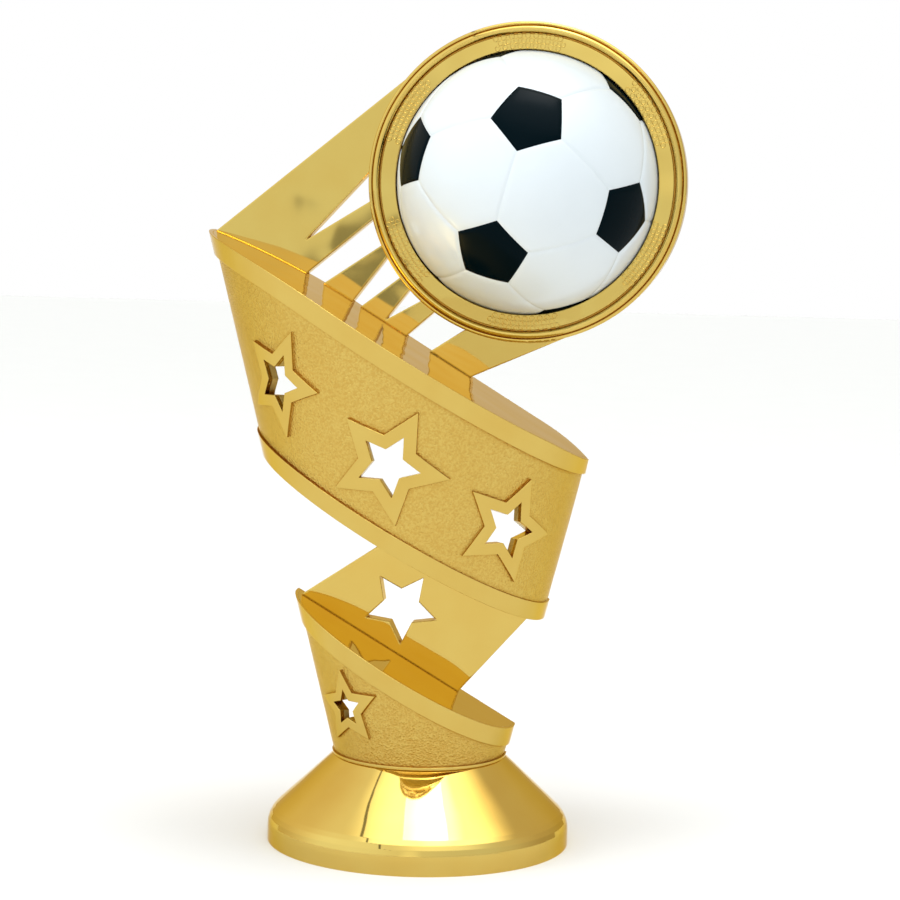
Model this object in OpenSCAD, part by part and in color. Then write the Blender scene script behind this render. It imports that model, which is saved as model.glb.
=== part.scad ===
// Sports figure for the top of a trophy: a gilt star ribbon that climbs from a
// round foot to a ring, with a ball that turns on an axle inside the ring.
// Origin: middle of the captive nut's lower face. +Z up, +X right, -Y is the front.

/* [Foot] */
// Diameter of the foot at the floor
foot_d = 59.4; // [50:0.1:72]
// Height of the upright rim of the foot
foot_rim_h = 5; // [3:0.1:8]
// Height of the whole foot
foot_h = 17.3; // [14:0.1:24]
// Diameter of the flat top of the foot
foot_top_d = 33.4; // [30:0.1:40]
// Length of the rounding between the rim and the slope
foot_round = 2.2; // [0.5:0.1:3.5]
// Wall of the foot
foot_wall = 2; // [1.4:0.1:3]
// Stiffening ribs under the foot
rib_count = 8; // [4:1:12]
// Thickness of each rib
rib_t = 1.4; // [1:0.1:2.5]

/* [Rod nut] */
// Width across the flats of the captive nut
nut_flats = 11.1; // [9:0.1:13]
// Height of the nut
nut_h = 5.6; // [4:0.1:7]
// Inner diameter of the nut's thread
thread_d = 5.2; // [4:0.1:6.4]
// Diameter of the hole for the rod above the nut
rod_hole_d = 7; // [6.6:0.1:8]
// Wall round the nut
nut_wall = 2.2; // [1.5:0.1:4]
// Slack round the nut
nut_gap = 0.05; // [0.02:0.01:0.2]

/* [Ribbon] */
// Growth of the ribbon's radius for each millimetre of height
flare = 0.25; // [0.15:0.01:0.32]
// Wall of the two curved bands
band_wall = 1.8; // [1.2:0.1:2.6]
// Thickness of the ledges that close the bands
ledge_t = 1.8; // [1.2:0.1:2.6]
// Thickness of the flat panels
panel_t = 3.5; // [2.4:0.1:5]
// How far the main band's upper lip stands proud of its grained face
lip_proud = 0.7; // [0.3:0.05:1.4]
// How far its lower lip stands proud
lower_lip_proud = 0.4; // [0.2:0.05:1]
// How far the lower band's lip stands proud
small_lip_proud = 0.5; // [0.2:0.05:1]
// Width of the upper lip of the main band
upper_lip_w = 3.6; // [2:0.1:6]
// Width of the lower lip of the main band
lower_lip_w = 3.4; // [2:0.1:6]
// Width of the upper lip of the lower band
small_lip_w = 3.6; // [2:0.1:6]
// Height of the bead where the lower band meets the foot
bead_h = 0.6; // [0.4:0.1:2.5]
// Width of the tabs that key the panels into the ledges
tab_w = 4; // [3:0.1:6]
// Thickness of the tabs
tab_t = 2; // [1.2:0.1:3]
// Slack round the tabs and pegs
key_gap = 0.05; // [0.02:0.01:0.2]
// Diameter of the pegs that key the lower band into the foot
peg_d = 3; // [2:0.1:4]
// Length of those pegs
peg_l = 4; // [2:0.1:5]

/* [Lower band] */
// Height of the lower ledge on the centre line
lower_z = 34.4; // [30:0.1:42]
// Fall of the lower ledge for each millimetre to the right
lower_slope = 0.575; // [0.4:0.005:0.7]

/* [Main band] */
// Height of the main ledge on the centre line
upper_z = 97; // [86:0.1:110]
// Fall of the main ledge for each millimetre to the right
upper_slope = 0.6; // [0.45:0.005:0.7]
// Height of the main band's floor on the centre line
floor_z = 58.7; // [50:0.1:66]
// Fall of the floor for each millimetre to the right
floor_slope = 0.56; // [0.45:0.005:0.7]
// Where the main ledge starts to ease off towards the left
ease_x = -16; // [-26:0.5:-8]
// Radius of that easing
ease_r = 150; // [140:5:400]
// Where the main ledge starts to bend down at its right end
tip_x = 24; // [16:0.5:28]
// Radius of that bend
tip_r = 60; // [40:5:120]
// Radius, seen from above, of the rounded corner at that end
corner_r = 11.2; // [4:0.2:14]
// Sideways place of that corner's middle
corner_x = 22.6; // [16:0.2:26]

/* [Stars] */
// Inner to outer radius of every star
star_ratio = 0.5; // [0.4:0.01:0.6]
// How far the star frames stand proud of the bands
star_proud = 0.5; // [0.2:0.1:1]
// Outer radius of the middle star frame on the main band
mid_star_r = 11.5; // [8:0.1:13]
// Radius of the hole in that star
mid_hole_r = 6.2; // [4:0.1:8]
// Outer radius of the two side star frames on the main band
side_star_r = 10.6; // [8:0.1:13]
// Radius of the holes in those stars
side_hole_r = 5.8; // [4:0.1:8]
// Outer radius of the star frame on the lower band
lower_star_r = 7.7; // [5:0.1:9]
// Radius of the star hole in the lower band
lower_hole_r = 3.8; // [2.6:0.1:5]
// Radius of the star window in the link panel
link_star_r = 7.3; // [5:0.1:8]

/* [Ring] */
// Sideways place of the ring's centre
ring_x = 18.8; // [14:0.1:24]
// Height of the ring's centre
ring_z = 129.5; // [124:0.1:150]
// Outer diameter of the ring
ring_d = 61; // [58:0.1:72]
// Depth of each half of the ring, from the middle to its flat face
ring_half = 5; // [4:0.1:8]
// Width of the ring's two rolled beads together
ring_lip_w = 2.1; // [1.6:0.1:3]
// Gap between the ball and the ring
ball_gap = 0.5; // [0.3:0.1:1]
// Width of the rim inside each face of the ring that keeps the ball in
rim_w = 1.1; // [0.6:0.1:2]
// How deep the ray panel's tongue sits in the ring
tongue_in = 1.2; // [0.8:0.1:1.6]

/* [Ball] */
// Diameter of the ball
ball_d = 50.8; // [46:0.1:54]
// Wall of the ball's two shells
ball_wall = 2.2; // [1.6:0.1:3]
// Diameter of the axle
axle_d = 2.4; // [1.8:0.1:3]
// How far the axle reaches into the ring
axle_in = 2.4; // [1.5:0.1:3]
// Radial slack between the axle and the ball
running_gap = 0.05; // [0.02:0.01:0.1]
// Diameter of the bosses that carry the axle inside the ball
boss_d = 7; // [5:0.1:9]
// Depth of those bosses
boss_l = 5; // [3:0.1:8]

/* [Hidden] */
$fn = 96;
gold = "#d9be6a";
grained_gold = "#d8b75c";
far = 200;                         // reach of the cutting shapes
eps = 0.01;
panel_back = panel_t / 2;          // the panels are centred on the ring's middle plane
foot_r = foot_d / 2;
foot_top_r = foot_top_d / 2;
boss_r = nut_flats / 2 / cos(30) + nut_gap + nut_wall;
ring_r = ring_d / 2;
ball_r = ball_d / 2;
ring_bore_r = ball_r + ball_gap;
axle_reach = ring_bore_r + axle_in;
rim_gap = ball_gap * 0.66;
// Radius of the rim's inner face, which follows the ball, at a distance from the middle plane
function rim_r(depth) = sqrt(pow(ball_r + rim_gap, 2) - depth * depth);
tongue_t = panel_t / 2;
key_root = 0.5;                    // how far a tab is rooted in its own panel
// Stars on the main band: turn round the ribbon's axis, height, tilt of the star, lean of
// its upright axis to the right, frame and hole radius
main_stars = [[-44, 91.4, 10, 0.2, side_star_r, side_hole_r],
              [-5, 77.1, 6.5, 0.03, mid_star_r, mid_hole_r],
              [40.5, 65, 9, -0.17, side_star_r, side_hole_r]];
// Star on the lower band, in the same form
lower_star = [-38.2, 28.5, 7.5, 0.14, lower_star_r, lower_hole_r];
// Middle of the star window in the link panel
link_star = [-4, 46.3];
// Gaps between the rays: left foot, right foot, lift above the ledge, two directions
ray_gaps = [[-24.2, -24.2, 6.4, 47.4, 32], [-24, -20.6, 0, 40, 34.2],
            [-14.8, -13.2, 0, 53, 37.6], [-8.2, -8.2, 0.6, 52.8, 29.5],
            [-4.1, 0.6, 0, 41.7, 33.3]];
fan_left_x = -42;                  // left foot of the first ray
fan_right_x = 8.6;                   // right foot of the last ray
fan_aim = [18.8, 129.5];           // the gaps' directions hold for a ring centred here
fan_tuck = 0.3;                    // how far the outer edges of the fan pass inside the ring
link_left = [-23.8, 34];           // left foot of the link panel and its direction
link_right = [7.6, 48.8];          // right foot of the link panel and its direction
link_tabs = [-16, -2];             // where the link panel's lower tabs stand
crown_tabs = [2, 14];              // where the link panel's upper tabs stand
fan_tabs = [-32, -17.5, 4];        // where the ray panel's tabs stand
peg_turns = [-50, 50];             // where the lower band's pegs stand, round the axis

// ---------- rules of the shape ----------
function lower_line(x) = lower_z - lower_slope * x;
function floor_line(x) = floor_z - floor_slope * x;
function ribbon_r(z) = foot_top_r + flare * (z - foot_h);
ease_pt = [ease_x, upper_z - upper_slope * ease_x];
ease_turn = atan(upper_slope);
ease_c = ease_pt - ease_r * [sin(ease_turn), cos(ease_turn)];
tip_run = (tip_x - ease_x) / cos(ease_turn);
// Height of the main ledge short of its right end: a straight fall, eased along an arc at
// the left
function upper_line(x) = x > ease_x ? upper_z - upper_slope * x
    : ease_c[1] + sqrt(ease_r * ease_r - pow(x - ease_c[0], 2));

module star(r, turn, lean = 0) {
    polygon([for (i = [0:9]) (i % 2 == 0 ? r : r * star_ratio)
        * [cos(turn + 36 * i) + lean * sin(turn + 36 * i), sin(turn + 36 * i)]]);
}

// Draws a flat outline upright in the XZ plane, t thick, its back at y = back
module upright(t, back) {
    translate([0, back, 0]) rotate([90, 0, 0]) linear_extrude(t) children();
}

// Everything under a sloping line that passes through height z on the centre line
module under_line(z, slope, drop = 0) {
    translate([0, z]) rotate(-atan(slope)) translate([-far, -2 * far - drop])
        square([2 * far, 2 * far]);
}

// Everything under the main ledge, lowered square to the ledge by drop. Its right end
// either bends down or runs on straight
module under_ledge(drop = 0, bend = true) {
    translate(ease_pt) rotate(-ease_turn) {
        translate([0, -far]) square([bend ? tip_run : far, far - drop]);
        intersection() {
            translate([0, -ease_r]) circle(ease_r - drop);
            translate([-far, -far]) square([far + eps, far]);
        }
        if (bend) intersection() {
            translate([tip_run, -tip_r]) circle(tip_r - drop);
            translate([tip_run - eps, -far]) square([far, far]);
        }
    }
}

// The ribbon's full round form, grown sideways
module ribbon_form(grow = 0) {
    top_z = 130;
    translate([0, 0, foot_h])
        cylinder(h = top_z - foot_h, r1 = foot_top_r + grow, r2 = ribbon_r(top_z) + grow);
}

module ribbon_shell(grow = 0) {
    difference() {
        ribbon_form(grow);
        translate([0, 0, -eps]) ribbon_form(-band_wall);
    }
}

// Puts an upright outline on the ribbon's face at a turn and height
module on_ribbon(place) {
    rotate([0, 0, place[0]]) translate([0, 0, place[1]]) rotate([90, 0, 0])
        linear_extrude(ribbon_r(place[1]) * 1.5) children();
}

// What lies outside the rounded corner at the right end of the main band
module beyond_corner() {
    middle = [corner_x, panel_back - corner_r];
    linear_extrude(far) difference() {
        translate(middle) square(far);
        translate(middle) circle(corner_r);
    }
}

// A tab, or its slot, across a sloping ledge at x: it reaches below the line by low and
// above it by high
module key(x, z, slope, slack, low, high) {
    translate([x, 0, z]) rotate([0, atan(slope), 0])
        translate([-tab_w / 2 - slack, -tab_t / 2 - slack, -low])
            cube([tab_w + 2 * slack, tab_t + 2 * slack, low + high]);
}

module link_keys(slack = 0) {
    for (x = link_tabs) key(x, lower_line(x), lower_slope, slack, ledge_t + slack, key_root);
}

// The upper tabs point up into the floor of the main band
module crown_keys(slack = 0) {
    for (x = crown_tabs) key(x, floor_line(x), floor_slope, slack, key_root, ledge_t + slack);
}

module fan_keys(slack = 0) {
    for (x = fan_tabs) key(x, upper_line(x), ledge_slope(x), slack, ledge_t + slack, key_root);
}
function ledge_slope(x) = (upper_line(x - 0.5) - upper_line(x + 0.5));

module peg_places() {
    for (turn = peg_turns) rotate([0, 0, turn])
        translate([0, -foot_top_r + band_wall + peg_d / 2 + 0.4, foot_h]) children();
}

// ---------- foot ----------
module foot_outline(inset) {
    shoulder = [foot_r - inset, foot_rim_h - inset * 0.4];
    brow = [foot_top_r - inset * 0.4, foot_h - inset];
    round = inset > 0 ? foot_round / 2 : foot_round;
    low = shoulder - [0, round];
    high = shoulder + round * (brow - shoulder) / norm(brow - shoulder);
    polygon([[0, -eps * sign(inset)], [foot_r - inset, -eps * sign(inset)],
        for (t = [0:0.25:1]) (1 - t) * (1 - t) * low + 2 * t * (1 - t) * shoulder + t * t * high,
        brow, [0, foot_h - inset]]);
}

module foot() color(gold) difference() {
    union() {
        difference() {
            rotate_extrude() foot_outline(0);
            rotate_extrude() foot_outline(foot_wall);
        }
        cylinder(h = foot_h - foot_wall / 2, r = boss_r);
        for (i = [0:rib_count - 1]) rotate([0, 0, (i + 0.5) * 360 / rib_count])
            intersection() {
                rotate_extrude() foot_outline(foot_wall / 2);
                translate([boss_r - 0.5, -rib_t / 2, 1]) cube([foot_r, rib_t, foot_h]);
            }
        peg_places() translate([0, 0, -peg_l - 1.5]) cylinder(h = peg_l + 1, d = peg_d + 3);
    }
    translate([0, 0, -eps]) cylinder(h = foot_h - foot_wall, d = rod_hole_d);
    translate([0, 0, -eps]) cylinder(h = nut_h + eps, r = nut_flats / 2 / cos(30) + nut_gap, $fn = 6);
    peg_places() translate([0, 0, -peg_l - key_gap])
        cylinder(h = peg_l + 1, d = peg_d + 2 * key_gap);
}

module rod_nut() color("silver") difference() {
    cylinder(h = nut_h, r = nut_flats / 2 / cos(30), $fn = 6);
    translate([0, 0, -eps]) cylinder(h = nut_h + 2 * eps, d = thread_d);
}

// ---------- bands ----------
// Cuts a band out of a round form: the front, between two flat outlines
module front_slice() {
    intersection() {
        children(0);
        upright(far, panel_back) difference() {
            children(1);
            if ($children > 2) children(2);
        }
    }
}

module lower_band() color(grained_gold) difference() {
    union() {
        front_slice() {
            ribbon_shell();
            under_line(lower_z, lower_slope);
        }
        front_slice() {
            ribbon_shell(small_lip_proud);
            under_line(lower_z, lower_slope);
            under_line(lower_z, lower_slope, small_lip_w);
        }
        front_slice() {
            ribbon_form();
            under_line(lower_z, lower_slope);
            under_line(lower_z, lower_slope, ledge_t);
        }
        front_slice() {
            ribbon_shell(small_lip_proud * 0.7);
            translate([-far, foot_h]) square([2 * far, bead_h]);
        }
        intersection() {
            ribbon_shell(star_proud);
            on_ribbon(lower_star) star(lower_star[4], 90 + lower_star[2], lower_star[3]);
            upright(far, panel_back) under_line(lower_z, lower_slope);
        }
        peg_places() {
            translate([0, 0, -peg_l]) cylinder(h = peg_l + 1, d = peg_d);
            cylinder(h = 3, d = peg_d + 2);
        }
    }
    on_ribbon(lower_star) star(lower_star[5], 90 + lower_star[2], lower_star[3]);
    link_keys(key_gap);
}

module main_band() color(grained_gold) difference() {
    union() {
        front_slice() {
            ribbon_shell();
            under_ledge();
            under_line(floor_z, floor_slope);
        }
        front_slice() {
            ribbon_shell(lip_proud);
            under_ledge();
            under_ledge(upper_lip_w, bend = false);
        }
        front_slice() {
            ribbon_shell(lower_lip_proud);
            under_line(floor_z, floor_slope, -lower_lip_w);
            under_line(floor_z, floor_slope);
        }
        front_slice() {
            ribbon_form();
            under_ledge();
            under_ledge(ledge_t);
        }
        front_slice() {
            ribbon_form();
            under_line(floor_z, floor_slope, -ledge_t);
            under_line(floor_z, floor_slope);
        }
        for (place = main_stars) intersection() {
            ribbon_shell(star_proud);
            on_ribbon(place) star(place[4], -90 + place[2], place[3]);
        }
    }
    for (place = main_stars) on_ribbon(place) star(place[5], -90 + place[2], place[3]);
    beyond_corner();
    crown_keys(key_gap);
    fan_keys(key_gap);
}

// ---------- flat panels ----------
module link_panel() color(gold) {
    difference() {
        upright(panel_t, panel_back) difference() {
            intersection() {
                under_line(floor_z, floor_slope);
                translate([link_left[0], lower_line(link_left[0])]) rotate(link_left[1])
                    translate([-far, -far]) square([2 * far, far]);
                translate([link_right[0], lower_line(link_right[0])]) rotate(link_right[1])
                    translate([-far, 0]) square([2 * far, far]);
            }
            under_line(lower_z, lower_slope);
            translate(link_star) star(link_star_r, -90);
        }
    }
    link_keys();
    crown_keys();
}

// The fan's outer edges run just inside the ring, so that they flow into its rim
fan_left = [fan_left_x, upper_line(fan_left_x)];
fan_right = [fan_right_x, upper_line(fan_right_x)];
ring_c = [ring_x, ring_z];
function edge_turn(foot, side) =
    let (d = ring_c - foot) atan2(d[1], d[0]) + side * asin((ring_r - fan_tuck) / norm(d));
function edge_end(foot, side) =
    let (d = norm(ring_c - foot), turn = edge_turn(foot, side))
    foot + sqrt(d * d - pow(ring_r - fan_tuck, 2)) * [cos(turn), sin(turn)];

module fan_outline() {
    difference() {
        polygon([fan_left, edge_end(fan_left, 1), ring_c, edge_end(fan_right, -1), fan_right,
            [fan_right_x, fan_right[1] - 20], [fan_left_x, fan_right[1] - 20]]);
        under_ledge();
    }
}

// How far the way from a foot to the ring's centre turns when the ring is moved
function drift(foot) =
    let (now = ring_c - foot, given = fan_aim - foot) atan2(now[1], now[0]) - atan2(given[1], given[0]);

module ray_gap(gap) {
    left = [gap[0], upper_line(gap[0]) + gap[2]];
    right = [gap[1], upper_line(gap[1]) + gap[2]];
    sink = gap[0] < gap[1] ? 2 : 0;        // open gaps start just under the ledge
    left_turn = gap[3] + drift(left);
    right_turn = gap[4] + drift(right);
    left_way = [cos(left_turn), sin(left_turn)];
    right_way = [cos(right_turn), sin(right_turn)];
    reach = norm(ring_c - left);
    polygon([left - sink * left_way, left + reach * left_way,
        right + reach * right_way, right - sink * right_way]);
}

module ray_panel() color(gold) {
    upright(panel_t, panel_back) difference() {
        fan_outline();
        translate(ring_c) circle(ring_r);
        for (gap = ray_gaps) ray_gap(gap);
    }
    fan_tongue(0);
    fan_keys();
}

// The tongue that the two halves of the ring clamp
module fan_tongue(slack) {
    upright(tongue_t + 2 * slack, tongue_t / 2 + slack) intersection() {
        difference() {
            translate(ring_c) circle(ring_r + (slack > 0 ? 1 : 0));
            translate(ring_c) circle(ring_r - tongue_in - slack);
        }
        fan_outline();
    }
}

// ---------- ring ----------
module in_ring() translate([ring_x, 0, ring_z]) rotate([90, 0, 0]) children();

// Half of the ring's section: radius across, distance from the middle plane up
module ring_section() {
    lip_in = ring_r - ring_lip_w;
    bead = ring_lip_w * 0.3;
    square_r = ring_lip_w * 0.2;
    difference() {
        union() {
            translate([ring_bore_r, 0]) square([lip_in - ring_bore_r, ring_half]);
            polygon([[rim_r(ring_half), ring_half], [rim_r(ring_half - rim_w), ring_half - rim_w],
                [ring_bore_r + eps, ring_half - rim_w], [ring_bore_r + eps, ring_half]]);
            translate([lip_in - eps, 0]) square([ring_lip_w + eps, ring_half - 0.6]);
            translate([lip_in + bead, ring_half]) circle(bead);
            translate([lip_in, ring_half - 1]) square([2 * bead, 1]);
            translate([ring_r - square_r, ring_half - 0.6]) circle(square_r);
        }
        translate([lip_in - 0.35, ring_half - 0.5]) square([0.35, 1]);
    }
}

module axle_hole(slack) {
    translate([ring_x, 0, ring_z - axle_reach]) cylinder(h = 2 * axle_reach, d = axle_d + 2 * slack);
}

module ring_front() color(gold) difference() {
    in_ring() rotate_extrude() ring_section();
    axle_hole(0);
    fan_tongue(key_gap);
}

module ring_rear() color(gold) difference() {
    mirror([0, 1, 0]) in_ring() rotate_extrude() ring_section();
    axle_hole(0);
    fan_tongue(key_gap);
}

module ball_axle() color("silver") axle_hole(0);

// ---------- ball ----------
spigot_r = ball_r - ball_wall - 0.15;
module ball_half(side) {
    difference() {
        intersection() {
            translate([ring_x, 0, ring_z]) union() {
                difference() {
                    sphere(ball_r);
                    sphere(ball_r - ball_wall);
                }
                for (end = [0, 180]) rotate([end, 0, 0])
                    translate([0, 0, ball_r - ball_wall - boss_l])
                        cylinder(h = boss_l + ball_wall / 2, d = boss_d);
            }
            translate([ring_x - far, side < 0 ? -far : 0, ring_z - far])
                cube([2 * far, far, 2 * far]);
        }
        axle_hole(running_gap);
    }
}

// The spigot ring that centres the two shells on each other
module ball_spigot() {
    step = 1.5;
    difference() {
        union() {
            in_ring() translate([0, 0, -step]) difference() {
                cylinder(h = 2 * step, r = spigot_r);
                translate([0, 0, -eps]) cylinder(h = 2 * step + 2 * eps, r = spigot_r - 1.2);
            }
            in_ring() difference() {
                cylinder(h = step, r = spigot_r + 0.6);
                translate([0, 0, -eps]) cylinder(h = step + 2 * eps, r = spigot_r - 1.2);
            }
        }
        translate([ring_x, 0, ring_z - far]) cylinder(h = 2 * far, d = boss_d + 1);
    }
}

module ball_front_shell() color("white") {
    ball_half(-1);
    ball_spigot();
}

module ball_rear_shell() color("white") ball_half(1);

foot();
rod_nut();
lower_band();
link_panel();
main_band();
ray_panel();
ring_front();
ring_rear();
ball_axle();
ball_front_shell();
ball_rear_shell();
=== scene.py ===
"""Gilt trophy figure: a star ribbon on a round foot, and a football that spins in a ring."""
import math

import bmesh
import bpy
from mathutils import Euler, Matrix, Vector


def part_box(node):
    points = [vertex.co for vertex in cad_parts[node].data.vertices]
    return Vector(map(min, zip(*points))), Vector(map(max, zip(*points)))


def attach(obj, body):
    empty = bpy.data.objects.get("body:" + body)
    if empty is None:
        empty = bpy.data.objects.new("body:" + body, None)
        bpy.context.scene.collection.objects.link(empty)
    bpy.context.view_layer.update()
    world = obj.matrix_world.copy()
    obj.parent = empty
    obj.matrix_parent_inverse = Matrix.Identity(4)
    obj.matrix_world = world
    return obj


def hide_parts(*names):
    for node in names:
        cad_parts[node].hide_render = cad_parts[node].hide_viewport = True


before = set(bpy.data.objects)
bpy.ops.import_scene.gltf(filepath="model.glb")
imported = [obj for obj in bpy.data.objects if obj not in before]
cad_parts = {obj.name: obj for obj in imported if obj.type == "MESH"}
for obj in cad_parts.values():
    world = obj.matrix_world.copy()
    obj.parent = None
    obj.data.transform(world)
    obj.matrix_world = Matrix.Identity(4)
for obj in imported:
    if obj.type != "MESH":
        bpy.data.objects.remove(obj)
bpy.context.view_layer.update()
MM = 0.001

# ---------- places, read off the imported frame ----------
ring_low, ring_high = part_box("ring_front")
ball_low, ball_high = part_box("ball_front_shell")
foot_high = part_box("foot")[1]
RING_C = Vector(((ring_low.x + ring_high.x) / 2, 0.0, (ring_low.z + ring_high.z) / 2))
BALL_R = (ball_high.x - ball_low.x) / 2
FOOT_H = foot_high.z

# The ribbon's rule: its radius at the foot's top, and its growth with height
RIBBON_R = 16.7 * MM
RIBBON_FLARE = 0.25
RING_FACE = 5 * MM                 # the ring's flat faces stand this far from its middle
RING_EYE = 25.24 * MM              # inner edge of those faces


# ---------- small helpers ----------
def colour(code):
    """A linear colour from an sRGB hex value."""
    channels = [int(code[i:i + 2], 16) / 255 for i in (1, 3, 5)]
    linear = [c / 12.92 if c <= 0.04045 else ((c + 0.055) / 1.055) ** 2.4 for c in channels]
    return (*linear, 1.0)


def add(tree, kind, inputs=None, **settings):
    """Adds one node: its properties, and for each input a plain value, a socket that feeds
    it, or a node whose first live output feeds it."""
    node = tree.nodes.new(kind)
    for key, value in settings.items():
        setattr(node, key, value)
    for name, given in (inputs or {}).items():
        if isinstance(given, bpy.types.Node):
            given = next(out for out in given.outputs if not out.is_unavailable)
        if isinstance(given, bpy.types.NodeSocket):
            tree.links.new(given, node.inputs[name])
        else:
            node.inputs[name].default_value = given
    return node


def span(value, low, high, start, end):
    """What a map range is given to turn low..high into start..end."""
    return {"Value": value, "From Min": low, "From Max": high, "To Min": start, "To Max": end}


def new_object(name, mesh):
    """An object at the origin that holds a mesh."""
    thing = bpy.data.objects.new(name, mesh)
    bpy.context.scene.collection.objects.link(thing)
    return thing


def new_material(name):
    """A material with only its output node, and that node."""
    material = bpy.data.materials.new(name)
    material.use_nodes = True
    tree = material.node_tree
    tree.nodes.clear()
    return material, tree, add(tree, "ShaderNodeOutputMaterial")


# ---------- gilt: vacuum-metallised aluminium under a gold lacquer ----------
GILT = "#D1B663"
GILT_DEEP = "#CBA954"              # where the lacquer is a little thicker
GILT_EDGE = "#F1DCA8"              # it stays yellow where the face turns away
GILT_CORNER_SHADE = "#A06C1C"              # painted shade, deep orange, in the inner corners
GILT_PIT_SHADE = "#BE9645"               # a little painted shade in the pits of the stipple
GILT_INSIDE = "#CDB46C"            # a dull coat inside the bands, where the tool is rough
MIRROR_ROUGH = 0.04
STIPPLE_ROUGH = 0.22
DULL_METAL = 0.25                  # how much of a mirror the dull coat leaves
CLOUD = 9 * MM                     # from thick to thin lacquer
CORNER_SHADE_OPEN = (0.42, 0.88)           # open share of a corner: full painted shade, and none
PIT_RISE = (0.6, 0.4)              # height in the stipple: no painted shade, and the full painted shade
PIT_SHADE = 0.65
STIPPLE_DEPTH = 0.45               # a share of the grain's own width
FACE_OFF = (0.06 * MM, 0.14 * MM)  # off the ribbon's rule: still its face, and not
INSIDE_OFF = (-0.6 * MM, -0.3 * MM)    # off the rule: dull, and not
LEVEL = (0.5, 0.6)                 # upward part of a face's normal: dull, and polished


def gilt(name, grain_mm=0.0, wave_mm=14.0, wave_tilt=0.02, edge_mm=0.25, corner_shade_mm=1.1):
    """Moulded polystyrene, vacuum metallised and lacquered gold: a mirror with a warm tint,
    slightly wavy as a moulding is, with softened edges and painted shade, deep orange, in its
    corners.
    With a grain, the ribbon's outer face has the leather-like stipple that the moulding
    tool leaves, and its inside a dull coat. The lips and star frames, which stand proud of
    that face, stay polished."""
    material, tree, output = new_material(name)
    place = add(tree, "ShaderNodeTexCoord").outputs["Object"]
    wave = add(tree, "ShaderNodeTexNoise",
               {"Vector": place, "Scale": 1 / (wave_mm * MM), "Detail": 1.0})
    edge = add(tree, "ShaderNodeBevel", {"Radius": edge_mm * MM}, samples=6)
    normal = add(tree, "ShaderNodeBump", {"Height": wave, "Normal": edge, "Strength": 1.0,
                                          "Distance": wave_mm * MM * wave_tilt})
    cloud = add(tree, "ShaderNodeTexNoise", {"Vector": place, "Scale": 1 / CLOUD})
    lacquer = add(tree, "ShaderNodeMix",
                  {"Factor": cloud, "A": colour(GILT), "B": colour(GILT_DEEP)},
                  data_type="RGBA")
    # painted shade: where a corner is closed in, an occlusion mask turns the colour deep orange
    open_side = add(tree, "ShaderNodeAmbientOcclusion", {"Distance": corner_shade_mm * MM},
                    samples=6, only_local=True)
    corner_shade = add(tree, "ShaderNodeMapRange",
               span(open_side.outputs["AO"], *CORNER_SHADE_OPEN, 0.0, 1.0))
    coat = add(tree, "ShaderNodeMix",
               {"Factor": corner_shade, "A": colour(GILT_CORNER_SHADE), "B": lacquer}, data_type="RGBA")
    shader = add(tree, "ShaderNodeBsdfPrincipled",
                 {"Base Color": coat, "Metallic": 1.0, "Roughness": MIRROR_ROUGH,
                  "Specular Tint": colour(GILT_EDGE)})
    if grain_mm:
        # how far a point stands off the ribbon's rule, which picks out the stippled face
        at = add(tree, "ShaderNodeSeparateXYZ", {"Vector": place}).outputs
        flat = add(tree, "ShaderNodeCombineXYZ", {"X": at["X"], "Y": at["Y"]})
        across = add(tree, "ShaderNodeVectorMath", {"Vector": flat}, operation="LENGTH")
        rule = add(tree, "ShaderNodeMath",
                   {0: at["Z"], 1: RIBBON_FLARE, 2: RIBBON_R - RIBBON_FLARE * FOOT_H},
                   operation="MULTIPLY_ADD")
        proud = add(tree, "ShaderNodeMath", {0: across, 1: rule}, operation="SUBTRACT")
        off = add(tree, "ShaderNodeMath", {0: proud}, operation="ABSOLUTE")
        face = add(tree, "ShaderNodeMapRange", span(off, *FACE_OFF, 1.0, 0.0))
        # the stipple, with painted shade in its pits
        stipple = add(tree, "ShaderNodeTexNoise",
                      {"Vector": place, "Scale": 1 / (grain_mm * MM), "Detail": 2.0,
                       "Roughness": 0.6})
        normal = add(tree, "ShaderNodeBump",
                     {"Strength": face, "Height": stipple, "Normal": normal,
                      "Distance": STIPPLE_DEPTH * grain_mm * MM})
        # painted shade: the lower the stipple, the darker the colour
        pit_shade = add(tree, "ShaderNodeMapRange", span(stipple, *PIT_RISE, 0.0, PIT_SHADE))
        shade_in_pits = add(tree, "ShaderNodeMath", {0: pit_shade, 1: face}, operation="MULTIPLY")
        pit_shaded = add(tree, "ShaderNodeMix",
                       {"Factor": shade_in_pits, "A": lacquer, "B": colour(GILT_PIT_SHADE)},
                       data_type="RGBA")
        # the dull inside; the ledges are polished, although they too lie inside the rule
        inside = add(tree, "ShaderNodeMapRange", span(proud, *INSIDE_OFF, 1.0, 0.0))
        up = add(tree, "ShaderNodeSeparateXYZ",
                 {"Vector": add(tree, "ShaderNodeNewGeometry").outputs["True Normal"]})
        steep = add(tree, "ShaderNodeMapRange", span(up.outputs["Z"], *LEVEL, 1.0, 0.0))
        dull = add(tree, "ShaderNodeMath", {0: inside, 1: steep}, operation="MULTIPLY")
        lined = add(tree, "ShaderNodeMix",
                    {"Factor": dull, "A": pit_shaded, "B": colour(GILT_INSIDE)},
                    data_type="RGBA")
        metal = add(tree, "ShaderNodeMapRange", span(dull, 0.0, 1.0, 1.0, DULL_METAL))
        soft = add(tree, "ShaderNodeMapRange",
                   span(face, 0.0, 1.0, MIRROR_ROUGH, STIPPLE_ROUGH))
        tree.links.new(lined.outputs["Result"], coat.inputs["B"])
        tree.links.new(metal.outputs["Result"], shader.inputs["Metallic"])
        tree.links.new(soft.outputs["Result"], shader.inputs["Roughness"])
    tree.links.new(normal.outputs["Normal"], shader.inputs["Normal"])
    tree.links.new(shader.outputs["BSDF"], output.inputs["Surface"])
    return material


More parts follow.
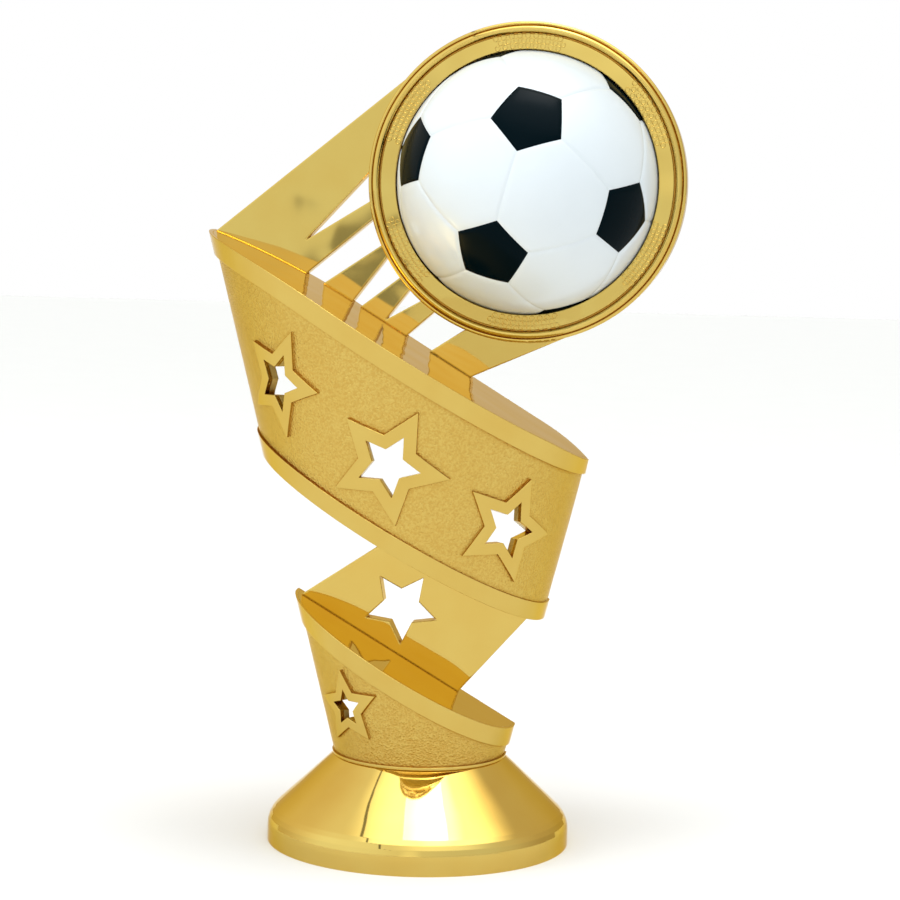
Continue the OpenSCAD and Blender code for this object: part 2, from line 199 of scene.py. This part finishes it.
# ---------- the other materials ----------
def gloss_moulding(name, tint, shade, glint):
    """Injection-moulded ABS with a gloss face: an even colour with the faintest clouding."""
    material, tree, output = new_material(name)
    speck, ripple_depth = 6 * MM, 0.02 * MM
    place = add(tree, "ShaderNodeTexCoord").outputs["Object"]
    cloud = add(tree, "ShaderNodeTexNoise",
                {"Vector": place, "Scale": 1 / speck, "Detail": 3.0})
    mix = add(tree, "ShaderNodeMix",
              {"Factor": cloud, "A": colour(tint), "B": colour(shade)}, data_type="RGBA")
    ripple = add(tree, "ShaderNodeBump",
                 {"Height": cloud, "Strength": 0.2, "Distance": ripple_depth})
    shader = add(tree, "ShaderNodeBsdfPrincipled",
                 {"Base Color": mix, "Normal": ripple, "Roughness": 0.2, "IOR": 1.54,
                  "Specular IOR Level": glint})
    tree.links.new(shader.outputs["BSDF"], output.inputs["Surface"])
    return material


def zinc_steel(name):
    """Turned steel, bright zinc plated: cool grey with fine turning lines. They are about
    half a millimetre apart, coarser than a lathe leaves them, so that they show."""
    material, tree, output = new_material(name)
    pitch = 0.491 * MM
    own_pitch = math.tau / 20          # between a wave texture's lines at a scale of one
    place = add(tree, "ShaderNodeTexCoord").outputs["Object"]
    lines = add(tree, "ShaderNodeTexWave",
                {"Vector": place, "Scale": own_pitch / pitch, "Distortion": 1.5,
                 "Detail": 2.0}, bands_direction="Z").outputs["Fac"]
    bump = add(tree, "ShaderNodeBump",
               {"Height": lines, "Strength": 0.3, "Distance": 0.02 * MM})
    mix = add(tree, "ShaderNodeMix",
              {"Factor": lines, "A": colour("#C9CBCE"), "B": colour("#B4B7BC")},
              data_type="RGBA")
    shader = add(tree, "ShaderNodeBsdfPrincipled",
                 {"Base Color": mix, "Normal": bump, "Metallic": 1.0, "Roughness": 0.3})
    tree.links.new(shader.outputs["BSDF"], output.inputs["Surface"])
    return material


def matt_sweep(name):
    """Matt white paper sweep: no gloss, and a tone that hardly varies."""
    material, tree, output = new_material(name)
    place = add(tree, "ShaderNodeTexCoord").outputs["Object"]
    fibre = add(tree, "ShaderNodeTexNoise", {"Vector": place, "Scale": 1 / (40 * MM)})
    mix = add(tree, "ShaderNodeMix",
              {"Factor": fibre, "A": colour("#F2F2F2"), "B": colour("#F0F0F0")},
              data_type="RGBA")
    shader = add(tree, "ShaderNodeBsdfDiffuse", {"Color": mix})
    tree.links.new(shader.outputs["BSDF"], output.inputs["Surface"])
    return material


polished = gilt("gilt polished moulding")
wavy = gilt("gilt wavy ledge moulding", wave_mm=16.0, wave_tilt=0.012, edge_mm=0.45)
# the real stipple is finer: this one is as coarse as it needs to be to show
grained = gilt("gilt stippled moulding", grain_mm=0.42, wave_tilt=0.012)
beaded = gilt("gilt beaded moulding", corner_shade_mm=0.15)
rolled = gilt("gilt rolled ring moulding", corner_shade_mm=0.5)
white = gloss_moulding("abs gloss white", "#DCE3E6", "#D8DFE2", 0.4)
black = gloss_moulding("abs gloss black-green", "#000D12", "#000B10", 0.03)
steel = zinc_steel("steel zinc plated")

CAD_FINISH = {"foot": polished, "rod_nut": steel, "lower_band": grained, "link_panel": wavy,
              "main_band": grained, "ray_panel": wavy, "ring_front": rolled,
              "ring_rear": rolled, "ball_axle": steel}
for node, material in CAD_FINISH.items():
    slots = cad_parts[node].data.materials
    slots.clear()
    slots.append(material)


# ---------- ball ----------
BALL_TURN = Euler([math.radians(a) for a in (-29.3, 57.2, -118.8)])
PATCH_ANGLE = math.radians(16.6)   # from a black panel's middle to its corners
SEAM_DEPTH = 0.2 * MM
SEAM_HALF = 0.85 * MM              # from the seam's line to where a panel is round again
EDGE_CUTS = 14                     # points along a panel's edge
RINGS = (0.2, 0.4, 0.58, 0.72, 0.83, 0.9, 0.95, 0.98, 1.0)    # from a panel's middle out
SAME_POINT = 0.002 * MM            # corners of two panels closer than this are one point


def icosahedron():
    """Twelve directions, two of them on the turned ball's own axis."""
    low = 1 / math.sqrt(5)
    tips = [Vector((0, 0, 1)), Vector((0, 0, -1))]
    for z, start in ((low, 0), (-low, 36)):
        for i in range(5):
            turn = math.radians(start + 72 * i)
            tips.append(Vector((2 * low * math.cos(turn), 2 * low * math.sin(turn), z)))
    turned = BALL_TURN.to_matrix()
    return [turned @ tip for tip in tips]


def slide(a, b, share):
    """A direction part of the way along the great circle from a to b."""
    angle = a.angle(b)
    return (a * math.sin((1 - share) * angle) + b * math.sin(share * angle)) / math.sin(angle)


def build_ball():
    """Twelve black five-sided panels and twenty white ones, dished into shallow seams."""
    tips = icosahedron()
    apart = tips[0].angle(tips[2])     # two neighbours; the next nearest are far more
    near = {i: [j for j in range(12) if j != i and tips[i].angle(tips[j]) < apart * 1.1]
            for i in range(12)}
    corner = {(i, j): slide(tips[i], tips[j], PATCH_ANGLE / apart)
              for i in range(12) for j in near[i]}
    panels = []
    for i in range(12):
        axis = tips[i]
        side = (tips[near[i][0]] - axis * tips[near[i][0]].dot(axis)).normalized()
        around = sorted(near[i], key=lambda j: math.atan2(
            tips[j].dot(axis.cross(side)), tips[j].dot(side)))
        panels.append((axis, [corner[i, j] for j in around], 1))
    for i in range(12):
        for j in near[i]:
            for k in near[i]:
                if i < j < k and k in near[j]:
                    middle = (tips[i] + tips[j] + tips[k]).normalized()
                    a, b, c = i, j, k
                    if (tips[b] - tips[a]).cross(tips[c] - tips[a]).dot(middle) < 0:
                        b, c = c, b
                    panels.append((middle, [corner[a, b], corner[b, a], corner[b, c],
                                            corner[c, b], corner[c, a], corner[a, c]], 0))
    shell = bmesh.new()
    for middle, corners, finish in panels:
        edge = []
        for n, start in enumerate(corners):
            end = corners[(n + 1) % len(corners)]
            edge += [slide(start, end, s / EDGE_CUTS) for s in range(EDGE_CUTS)]
        loops = []
        for share in RINGS:
            loop = []
            for point in edge:
                out = slide(middle, point, share) if share < 1 else point
                gap = (1 - share) * middle.angle(point) * BALL_R
                dip = SEAM_DEPTH * max(0.0, 1 - gap / SEAM_HALF) ** 2
                loop.append(shell.verts.new(RING_C + out * (BALL_R - dip)))
            loops.append(loop)
        hub = shell.verts.new(RING_C + middle * BALL_R)
        count = len(edge)
        for n in range(count):
            shell.faces.new((hub, loops[0][n], loops[0][(n + 1) % count])).material_index = finish
            for inner, outer in zip(loops, loops[1:]):
                shell.faces.new((inner[n], outer[n], outer[(n + 1) % count],
                                 inner[(n + 1) % count])).material_index = finish
    bmesh.ops.remove_doubles(shell, verts=shell.verts, dist=SAME_POINT)
    bmesh.ops.recalc_face_normals(shell, faces=shell.faces)
    mesh = bpy.data.meshes.new("ball")
    shell.to_mesh(mesh)
    shell.free()
    mesh.shade_smooth()
    mesh.materials.append(white)
    mesh.materials.append(black)
    return new_object("ball", mesh)


ball = build_ball()
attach(ball, "ball")
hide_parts("ball_front_shell", "ball_rear_shell")


# ---------- beaded pads on the ring ----------
def build_pads(name, side):
    """Six pads of little rings on one face of the ring, laid out by Geometry Nodes."""
    tree = bpy.data.node_groups.new(name, "GeometryNodeTree")
    tree.interface.new_socket("Geometry", in_out="OUTPUT", socket_type="NodeSocketGeometry")
    sizes = {"Pitch": 1.5 * MM, "Row step": 0.92 * MM, "Cell radius": 0.45 * MM,
             "Cell wall": 0.12 * MM, "First row": RING_EYE + 0.66 * MM,
             "Face": side * (RING_FACE - 0.03 * MM),    # each ring sinks a little way in
             "Centre X": RING_C.x, "Centre Z": RING_C.z}
    counts = {"Pads": 6, "Rows": 3, "Cells in a row": 9}
    for label in sizes:
        tree.interface.new_socket(label, in_out="INPUT", socket_type="NodeSocketFloat")
    for label in counts:
        tree.interface.new_socket(label, in_out="INPUT", socket_type="NodeSocketInt")
    given = add(tree, "NodeGroupInput").outputs
    known = {label: given[label] for label in (*sizes, *counts)}
    known["Index"] = add(tree, "GeometryNodeInputIndex")
    # each little ring's place, worked out line by line from its number; every second row
    # is half a pitch further on
    for label, operation, *parts in (
            ("cells in a pad", "MULTIPLY", "Rows", "Cells in a row"),
            ("all cells", "MULTIPLY", "cells in a pad", "Pads"),
            ("pads so far", "DIVIDE", "Index", "cells in a pad"),
            ("pad", "FLOOR", "pads so far"),
            ("number in pad", "MODULO", "Index", "cells in a pad"),
            ("rows so far", "DIVIDE", "number in pad", "Cells in a row"),
            ("row", "FLOOR", "rows so far"),
            ("number in row", "MODULO", "number in pad", "Cells in a row"),
            ("odd row", "MODULO", "row", 2.0),
            ("stagger", "MULTIPLY", "odd row", 0.5),
            ("row length", "SUBTRACT", "Cells in a row", 0.5),
            ("half a row", "MULTIPLY", "row length", 0.5),
            ("steps along", "ADD", "number in row", "stagger"),
            ("steps off middle", "SUBTRACT", "steps along", "half a row"),
            ("off middle", "MULTIPLY", "steps off middle", "Pitch"),
            ("middle row", "ADD", "First row", "Row step"),
            ("turn in pad", "DIVIDE", "off middle", "middle row"),
            ("pad turns", "MULTIPLY", "pad", math.tau),
            ("turn of pad", "DIVIDE", "pad turns", "Pads"),
            ("turn", "ADD", "turn in pad", "turn of pad"),
            ("row rise", "MULTIPLY", "row", "Row step"),
            ("radius", "ADD", "First row", "row rise"),
            ("sine", "SINE", "turn"),
            ("cosine", "COSINE", "turn"),
            ("across", "MULTIPLY", "radius", "sine"),
            ("up", "MULTIPLY", "radius", "cosine"),
            ("X", "ADD", "Centre X", "across"),
            ("Z", "ADD", "Centre Z", "up")):
        known[label] = add(tree, "ShaderNodeMath",
                           {slot: known.get(part, part) for slot, part in enumerate(parts)},
                           operation=operation)
    spot = add(tree, "ShaderNodeCombineXYZ",
               {"X": known["X"], "Y": known["Face"], "Z": known["Z"]})
    line = add(tree, "GeometryNodeMeshLine", {"Count": known["all cells"]})
    points = add(tree, "GeometryNodeSetPosition", {"Geometry": line, "Position": spot})
    loop = add(tree, "GeometryNodeCurvePrimitiveCircle",
               {"Radius": known["Cell radius"], "Resolution": 12})
    wire = add(tree, "GeometryNodeCurvePrimitiveCircle",
               {"Radius": known["Cell wall"], "Resolution": 5})
    little = add(tree, "GeometryNodeCurveToMesh", {"Curve": loop, "Profile Curve": wire})
    cells = add(tree, "GeometryNodeInstanceOnPoints",
                {"Points": points, "Instance": little,
                 "Rotation": Euler((math.pi / 2, 0, 0))})
    real = add(tree, "GeometryNodeRealizeInstances", {"Geometry": cells})
    smooth = add(tree, "GeometryNodeSetShadeSmooth", {"Geometry": real})
    coat = add(tree, "GeometryNodeSetMaterial", {"Geometry": smooth, "Material": beaded})
    add(tree, "NodeGroupOutput", {"Geometry": coat})

    maker = new_object(name + "_maker", bpy.data.meshes.new(name))
    layout = maker.modifiers.new("layout", "NODES")
    layout.node_group = tree
    for item in tree.interface.items_tree:
        if item.in_out == "INPUT" and item.name in {**sizes, **counts}:
            layout[item.identifier] = {**sizes, **counts}[item.name]
    bpy.context.view_layer.update()
    depsgraph = bpy.context.evaluated_depsgraph_get()
    mesh = bpy.data.meshes.new_from_object(maker.evaluated_get(depsgraph))
    bpy.data.objects.remove(maker)
    pads = new_object(name, mesh)
    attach(pads, "figure")


build_pads("ring_pads_front", -1)
build_pads("ring_pads_rear", 1)


# ---------- camera ----------
def set_camera():
    """A long lens, a little to the right and just above the figure's middle."""
    data = bpy.data.cameras.new("camera")
    data.sensor_width = 36.0
    data.lens = 98.6
    data.clip_start, data.clip_end = 0.05, 20.0
    lens = bpy.data.objects.new("camera", data)
    bpy.context.scene.collection.objects.link(lens)
    distance, height = 479.8 * MM, 121.84 * MM
    turn, swing = math.radians(7.486), math.radians(0.561)
    pitch, roll = math.radians(5.299), math.radians(1.323)
    lens.location = (distance * math.sin(turn), -distance * math.cos(turn), height)
    heading = math.atan2(-lens.location.x, -lens.location.y) + swing
    ahead = Vector((math.sin(heading) * math.cos(pitch), math.cos(heading) * math.cos(pitch),
                    -math.sin(pitch)))
    right = Vector((math.cos(heading), -math.sin(heading), 0.0))
    up = right.cross(ahead)
    level = Matrix((right, up, -ahead)).transposed()
    lens.rotation_euler = (level @ Matrix.Rotation(roll, 3, "Z")).to_euler()
    bpy.context.scene.camera = lens


# ---------- stage and light ----------
MATT_SHARE = 0.545                 # how much of the tent's light reaches matt faces
LENS_PATCH = (0.03, -0.98, 0.2)    # the middle of a brighter patch, just above the lens
OPENING = (-0.158, -0.987, -0.018)     # the middle of the dark opening
ROOF_LAMP = (0.17, -0.14, 0.976)   # towards the brightest of the roof
SEAM_LEAN = 0.49                   # how far left of the middle the roof's seam is, for its height


def set_floor():
    """A wide pale floor."""
    mesh = bpy.data.meshes.new("floor")
    reach = 3.0
    mesh.from_pydata([(-reach, -reach, 0), (reach, -reach, 0), (reach, reach, 0),
                      (-reach, reach, 0)], [], [(0, 1, 2, 3)])
    mesh.materials.append(matt_sweep("paper sweep"))
    new_object("floor", mesh)


def set_softbox(name, centre, aim, size, power, in_mirrors):
    """One soft rectangular lamp, turned to face a point, that may hide from mirrors."""
    data = bpy.data.lights.new(name, "AREA")
    data.shape = "RECTANGLE"
    data.size, data.size_y = size
    data.energy = power
    lamp = bpy.data.objects.new(name, data)
    bpy.context.scene.collection.objects.link(lamp)
    lamp.location = centre
    lamp.visible_glossy = in_mirrors
    lamp.rotation_euler = (Vector(aim) - Vector(centre)).to_track_quat("-Z", "Y").to_euler()


def set_world():
    """A white tent: a bright roof with a seam across it, greyer walls, and one dark opening
    in front. Less of it reaches matt faces than shows in mirrors, and the backdrop is white."""
    world = bpy.data.worlds.new("studio")
    bpy.context.scene.world = world
    world.use_nodes = True
    tree = world.node_tree
    tree.nodes.clear()
    way = add(tree, "ShaderNodeTexCoord").outputs["Generated"]
    at = add(tree, "ShaderNodeSeparateXYZ", {"Vector": way}).outputs
    soft = {"interpolation_type": "SMOOTHSTEP"}

    # the walls: brighter behind the lens, to the left and upwards
    facing = add(tree, "ShaderNodeMapRange", span(at["Y"], -0.4, 0.5, 0.0, 1.0), **soft)
    front = add(tree, "ShaderNodeMapRange", span(at["Z"], -0.05, 0.5, 1.2, 1.4), **soft)
    back = add(tree, "ShaderNodeMapRange", span(at["Z"], -0.05, 0.5, 0.74, 0.95), **soft)
    sides = add(tree, "ShaderNodeMapRange", span(at["X"], -1.0, 1.0, 1.14, 0.82), **soft)
    tent = add(tree, "ShaderNodeMix", {"Factor": facing, "A": front, "B": back})
    walls = add(tree, "ShaderNodeMath", {0: tent, 1: sides}, operation="MULTIPLY")
    off_patch = add(tree, "ShaderNodeVectorMath", {0: way, 1: LENS_PATCH},
                    operation="DISTANCE")
    patch = add(tree, "ShaderNodeMapRange", span(off_patch, 0.24, 0.08, 0.0, 0.5), **soft)
    patched = add(tree, "ShaderNodeMath", {0: walls, 1: patch}, operation="ADD")

    # the roof: a wide glow with a stronger middle
    to_lamp = add(tree, "ShaderNodeVectorMath", {0: way, 1: ROOF_LAMP},
                  operation="DOT_PRODUCT")
    wide = add(tree, "ShaderNodeMapRange", span(to_lamp, 0.72, 0.97, 0.0, 2.2), **soft)
    strong = add(tree, "ShaderNodeMapRange", span(to_lamp, 0.965, 0.995, 0.0, 3.0), **soft)
    glow = add(tree, "ShaderNodeMath", {0: wide, 1: strong}, operation="ADD")
    bright = add(tree, "ShaderNodeMath", {0: patched, 1: glow}, operation="ADD")

    # cloth never hangs quite straight: this sways the seam and the opening's edge
    sway = add(tree, "ShaderNodeTexNoise", {"Vector": way, "Scale": 22.0, "Detail": 1.0})
    swayed = add(tree, "ShaderNodeMath", {0: sway, 1: 0.5}, operation="SUBTRACT")
    stir = add(tree, "ShaderNodeMath", {0: swayed, 1: 0.045}, operation="MULTIPLY")
    half_stir = add(tree, "ShaderNodeMath", {0: stir, 1: 0.5}, operation="MULTIPLY")

    # the seam, a thin dark line that runs front to back and only over the roof
    lean = add(tree, "ShaderNodeMath", {0: at["Z"], 1: SEAM_LEAN}, operation="MULTIPLY")
    beside = add(tree, "ShaderNodeMath", {0: at["X"], 1: lean}, operation="ADD")
    seam_off = add(tree, "ShaderNodeMath", {0: beside}, operation="ABSOLUTE")
    seam_edge = add(tree, "ShaderNodeMath", {0: seam_off, 1: half_stir}, operation="ADD")
    line = add(tree, "ShaderNodeMapRange", span(seam_edge, 0.007, 0.016, 0.2, 1.0), **soft)
    low_down = add(tree, "ShaderNodeMapRange", span(at["Z"], 0.5, 0.4, 0.0, 1.0), **soft)
    clear = add(tree, "ShaderNodeMath", {0: line, 1: low_down}, operation="ADD")
    seam = add(tree, "ShaderNodeMath", {0: clear, 1: 1.0}, operation="MINIMUM")

    # the dark opening, with a ragged edge
    off_opening = add(tree, "ShaderNodeVectorMath", {0: way, 1: OPENING},
                      operation="DISTANCE")
    ragged = add(tree, "ShaderNodeMath", {0: off_opening, 1: stir}, operation="ADD")
    dark = add(tree, "ShaderNodeMapRange", span(ragged, 0.022, 0.028, 0.4, 1.0), **soft)
    shade = add(tree, "ShaderNodeMath", {0: dark, 1: seam}, operation="MULTIPLY")
    level = add(tree, "ShaderNodeMath", {0: bright, 1: shade}, operation="MULTIPLY")

    ray = add(tree, "ShaderNodeLightPath").outputs
    share = add(tree, "ShaderNodeMapRange",
                span(ray["Is Diffuse Ray"], 0.0, 1.0, 1.0, MATT_SHARE))
    strength = add(tree, "ShaderNodeMath", {0: level, 1: share}, operation="MULTIPLY")
    cast = add(tree, "ShaderNodeMix",
               {"Factor": facing, "A": colour("#F0F8FF"), "B": colour("#FFF4DF")},
               data_type="RGBA")
    room = add(tree, "ShaderNodeBackground", {"Strength": strength, "Color": cast})
    backdrop = add(tree, "ShaderNodeBackground", {"Color": colour("#FFFFFF")})
    sky = add(tree, "ShaderNodeMixShader", {0: ray["Is Camera Ray"], 1: room, 2: backdrop})
    add(tree, "ShaderNodeOutputWorld", {"Surface": sky})


set_camera()
set_floor()
set_world()
set_softbox("top softbox", (0.08, -0.12, 0.9), (0.08, -0.12, 0.0), (0.36, 0.26), 1.3, True)
set_softbox("left fill", (-0.9, -0.5, 0.5), RING_C, (0.5, 0.5), 3.0, False)
set_softbox("low fill", (-0.1, -0.7, 0.03), RING_C, (0.5, 0.2), 0.8, False)
bpy.context.scene.view_settings.view_transform = "Standard"
